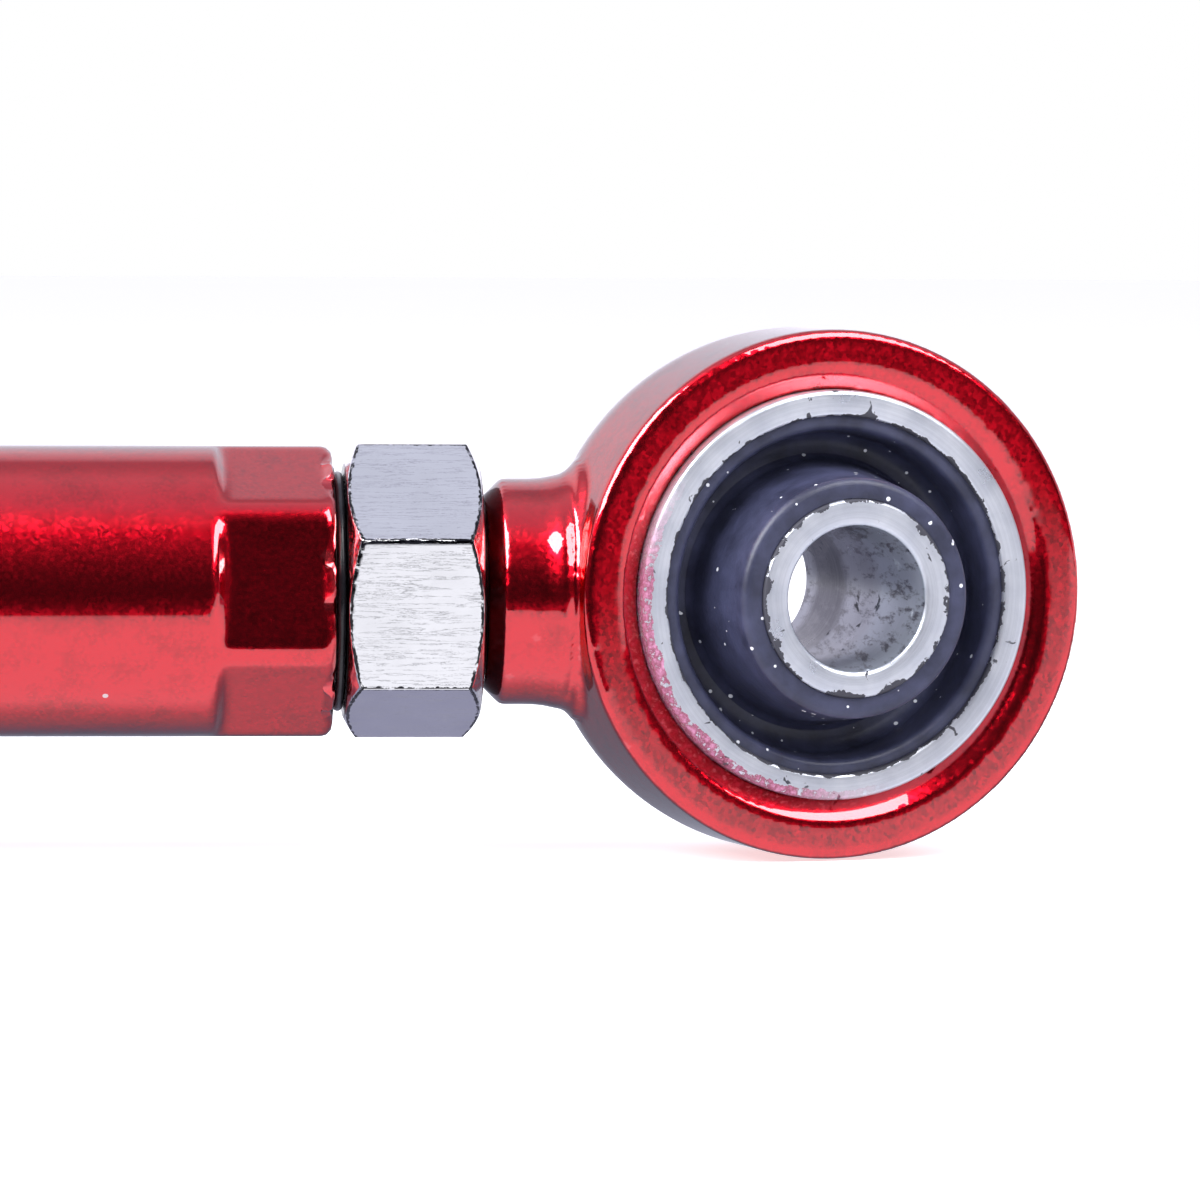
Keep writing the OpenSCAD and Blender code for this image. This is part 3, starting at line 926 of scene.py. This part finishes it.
class CONTROLARM_OT_seals(bpy.types.Operator):
    """Model the round-edged rubber seals between the tube and the nuts"""

    bl_idname = "control_arm.seals"
    bl_label = "Seals"

    def execute(self, context):
        sizes = context.scene.arm_sizes
        bore, edge = sizes.thread_r + 0.05, SEAL_T / 2
        outline = [(bore, SEAL_X + 0.1), (bore + 0.1, SEAL_X)]
        outline += arc(SEAL_R - edge, SEAL_X + edge, edge, -90, 90, 12)
        outline += [(bore + 0.1, SEAL_X + SEAL_T), (bore, SEAL_X + SEAL_T - 0.1), (bore, SEAL_X + 0.1)]
        seal = turned("seal", outline, steps=144)
        only(seal)
        bpy.ops.object.shade_smooth_by_angle(angle=math.radians(40))
        onto_arm(seal)
        both_ends(seal, "seal_rubber", "seal_gloss", "seal_ring_{}", "seal_rubber", "seal_ring")
        return {"FINISHED"}


class CONTROLARM_OT_outer_sleeves(bpy.types.Operator):
    """Turn the zinc outer sleeves, with their edges broken"""

    bl_idname = "control_arm.outer_sleeves"
    bl_label = "Outer sleeves"

    def execute(self, context):
        sizes = context.scene.arm_sizes
        top = sizes.eye_w / 2 + sizes.sleeve_proud
        out_r, in_r = OUTER_SLEEVE_R, OUTER_SLEEVE_R - sizes.sleeve_wall
        front = arc(in_r + 0.35, top - 0.35, 0.35, 180, 90, 4) + arc(out_r - 0.45, top - 0.45, 0.45, 90, 0, 5)
        outline = [(in_r, 0)] + front + [(r, -z) for r, z in reversed(front)] + [(in_r, 0)]
        sleeve = turned("sleeve", outline, steps=256)
        set_on_bolt(
            sleeve, 30, sizes,
            "outer_sleeve_zinc", "zinc_outer_sleeve", "{}_end", "zinc_steel", "outer_sleeve",
        )
        return {"FINISHED"}


class CONTROLARM_OT_rubber(bpy.types.Operator):
    """Mould the rubber bushes: lip, deep groove and hub"""

    bl_idname = "control_arm.rubber"
    bl_label = "Rubber bushes"

    def execute(self, context):
        sizes = context.scene.arm_sizes
        face, hub = sizes.eye_w / 2, sizes.inner_half - 0.4
        rubber, lip, lip_r, root_r = OUTER_SLEEVE_R - sizes.sleeve_wall, 1.7, 0.75, 1.5
        groove, floor = rubber - lip, face - 6.0
        front = [(rubber, face - 0.05)]
        front += arc(rubber - lip_r, face - lip_r, lip_r, 80, 170, 6)
        front += [(groove, face - 2.2), (groove - 0.1, floor + 1.6)]
        front += arc(groove - 1.6, floor + root_r, root_r, 0, -90, 6)
        front += [(14.4, floor + 0.15)] + arc(15.3, floor + root_r, root_r, -120, -175, 4)
        front += [(13.4, floor + 3.0), (12.9, hub - 4.2), (12.6, hub - 1.6)]
        front += arc(11.7, hub - 0.8, 0.8, 0, 90, 5) + [(11.0, hub), (INNER_SLEEVE_R + 0.05, hub - 0.05)]
        outline = front + [(r, -z) for r, z in reversed(front)] + [front[0]]
        bush = turned("bush", outline, steps=192)
        set_on_bolt(bush, 60, sizes, "bush_rubber", "bush_moulding", "{}_end", "bush_rubber", "rubber_bush")
        return {"FINISHED"}


class CONTROLARM_OT_inner_sleeves(bpy.types.Operator):
    """Turn the zinc inner sleeves that the bracket clamps"""

    bl_idname = "control_arm.inner_sleeves"
    bl_label = "Inner sleeves"

    def execute(self, context):
        sizes = context.scene.arm_sizes
        end, hole, outer = sizes.inner_half, sizes.hole_r, INNER_SLEEVE_R
        front = arc(hole + 0.6, end - 0.6, 0.6, 180, 90, 5) + arc(outer - 0.3, end - 0.3, 0.3, 90, 0, 4)
        outline = [(hole, 0)] + front + [(r, -z) for r, z in reversed(front)] + [(hole, 0)]
        sleeve = turned("sleeve", outline, steps=192)
        set_on_bolt(
            sleeve, 30, sizes,
            "inner_sleeve_zinc", "zinc_inner_sleeve", "inner_sleeve_{}", "zinc_steel", "inner_sleeve",
        )
        return {"FINISHED"}


class CONTROLARM_OT_studio(bpy.types.Operator):
    """Set the floor, the soft lamps, the room's light and the camera"""

    bl_idname = "control_arm.studio"
    bl_label = "Studio"

    def room_light(self, scene):
        """Even light all round, with the dark room in front that the gloss shows."""
        world = bpy.data.worlds.new("studio")
        scene.world = world
        world.use_nodes = True
        tree = world.node_tree
        for node in list(tree.nodes):
            tree.nodes.remove(node)
        place = tree.nodes.new("ShaderNodeTexCoord").outputs["Generated"]
        parts = add(tree, "SeparateXYZ", {0: place})
        x, y, z = parts.outputs
        angle = maths(tree, "ARCTAN2", z, maths(tree, "MULTIPLY", y, -1.0))
        # The room's horizon sinks towards the right
        rise = maths(tree, "MULTIPLY", maths(tree, "MAXIMUM", x, 0.0), -math.radians(19.9))
        turn = maths(tree, "MULTIPLY_ADD", maths(tree, "ADD", angle, rise), 0.5 / math.pi, 0.5)
        band = add(tree, "ValToRGB", {0: turn})
        marks = band.color_ramp.elements
        marks.remove(marks[-1])
        for degrees, tone in ROOM_LIGHT:
            mark = marks[0] if degrees == -180 else marks.new(degrees / 360 + 0.5)
            mark.color = (*tone, 1)
        path = tree.nodes.new("ShaderNodeLightPath")
        seen = maths(tree, "MAXIMUM", path.outputs["Is Camera Ray"], path.outputs["Is Transmission Ray"])
        light = add(tree, "Background", {"Color": band.outputs["Color"], "Strength": scene.arm_studio.fill})
        white = add(tree, "Background", {"Color": (1, 1, 1, 1), "Strength": 1.0})
        mix = add(tree, "MixShader", {0: seen, 1: light.outputs[0], 2: white.outputs[0]})
        out = tree.nodes.new("ShaderNodeOutputWorld")
        tree.links.new(mix.outputs[0], out.inputs["Surface"])

    def lamp(self, name, azimuth, elevation, distance, size, power):
        """A soft lamp that looks at the right eye from an azimuth and elevation in degrees."""
        az, el = math.radians(azimuth), math.radians(elevation)
        away = Vector((math.sin(az) * math.cos(el), -math.cos(az) * math.cos(el), math.sin(el)))
        data = bpy.data.lights.new(name, "AREA")
        data.shape, data.size, data.size_y, data.energy = "RECTANGLE", size[0], size[1], power
        lamp = bpy.data.objects.new(name, data)
        bpy.context.collection.objects.link(lamp)
        lamp.location = Vector((-0.02, ARM_Y * MM, 0)) + away * distance
        lamp.rotation_euler = away.to_track_quat("Z", "Y").to_euler()

    def execute(self, context):
        scene = context.scene
        scene.view_settings.view_transform = "Standard"
        self.room_light(scene)
        power = scene.arm_studio.key_power
        self.lamp("lamp_left", azimuth=-56, elevation=42, distance=0.7, size=(0.60, 0.52), power=1.1 * power)
        self.lamp("lamp_right", azimuth=46, elevation=44, distance=0.7, size=(0.40, 0.50), power=0.5 * power)

        bpy.ops.object.select_all(action="DESELECT")
        bpy.ops.mesh.primitive_plane_add(size=6, location=(-0.15, 0, CAD_BOX[0][2] - 0.0002))
        floor = bpy.context.object
        floor.name = "floor"
        tree, shader, _ = new_material(
            "pale_floor", base_color=(0.82, 0.82, 0.84, 1), roughness=1.0, specular_ior_level=0.0
        )
        path = tree.nodes.new("ShaderNodeLightPath")
        strength = maths(tree, "MULTIPLY", path.outputs["Is Camera Ray"], 0.62)
        glow = add(tree, "Emission", {"Color": (1, 1, 1, 1), "Strength": strength})
        both = add(tree, "AddShader", {0: shader.outputs[0], 1: glow.outputs[0]})
        tree.links.new(both.outputs[0], tree.nodes["Material Output"].inputs["Surface"])
        floor.data.materials.append(bpy.data.materials["pale_floor"])
        floor.visible_glossy = False

        yaw, pitch, roll, away = math.radians(4.4), math.radians(3.5), math.radians(0.3), 0.825
        forward = Vector((math.sin(yaw) * math.cos(pitch), math.cos(yaw) * math.cos(pitch), -math.sin(pitch)))
        level = Vector((math.cos(yaw), -math.sin(yaw), 0))
        upright = level.cross(forward)
        right = level * math.cos(roll) + upright * math.sin(roll)
        up = upright * math.cos(roll) - level * math.sin(roll)
        data = bpy.data.cameras.new("camera")
        data.lens, data.sensor_width = 235.1, 36
        data.clip_start, data.clip_end = 0.01, 20
        camera = bpy.data.objects.new("camera", data)
        context.collection.objects.link(camera)
        shift_right, shift_up = -0.02077, -0.00117
        place = forward * -away + right * shift_right + up * shift_up
        turn = Matrix((right, up, -forward)).transposed()
        camera.matrix_world = Matrix.Translation(place) @ turn.to_4x4()
        scene.camera = camera
        return {"FINISHED"}


OPERATORS = (
    CONTROLARM_OT_studio,
    CONTROLARM_OT_finishes,
    CONTROLARM_OT_tube,
    CONTROLARM_OT_housings,
    CONTROLARM_OT_threads,
    CONTROLARM_OT_nuts,
    CONTROLARM_OT_seals,
    CONTROLARM_OT_outer_sleeves,
    CONTROLARM_OT_rubber,
    CONTROLARM_OT_inner_sleeves,
)


class CONTROLARM_PT_panel(bpy.types.Panel):
    """Lists the sizes, finishes and pieces of the control arm"""

    bl_label = "Control Arm"
    bl_idname = "CONTROLARM_PT_panel"
    bl_space_type = "VIEW_3D"
    bl_region_type = "UI"
    bl_category = "Control Arm"

    def draw(self, context):
        for group_name in ("arm_sizes", "arm_finish", "arm_studio"):
            values = getattr(context.scene, group_name)
            box = self.layout.box()
            for key in values.__annotations__:
                box.prop(values, key)
        for operator in OPERATORS:
            self.layout.operator(operator.bl_idname)


CLASSES = (ArmSizes, ArmFinish, ArmStudio) + OPERATORS + (CONTROLARM_PT_panel,)


def register():
    for each in CLASSES:
        bpy.utils.register_class(each)
    bpy.types.Scene.arm_sizes = PointerProperty(type=ArmSizes)
    bpy.types.Scene.arm_finish = PointerProperty(type=ArmFinish)
    bpy.types.Scene.arm_studio = PointerProperty(type=ArmStudio)


def unregister():
    del bpy.types.Scene.arm_sizes, bpy.types.Scene.arm_finish, bpy.types.Scene.arm_studio
    for each in reversed(CLASSES):
        bpy.utils.unregister_class(each)


def main():
    """Builds the studio and every piece."""
    register()
    for operator in OPERATORS:
        category, name = operator.bl_idname.split(".")
        getattr(getattr(bpy.ops, category), name)()


if __name__ == "__main__":
    main()
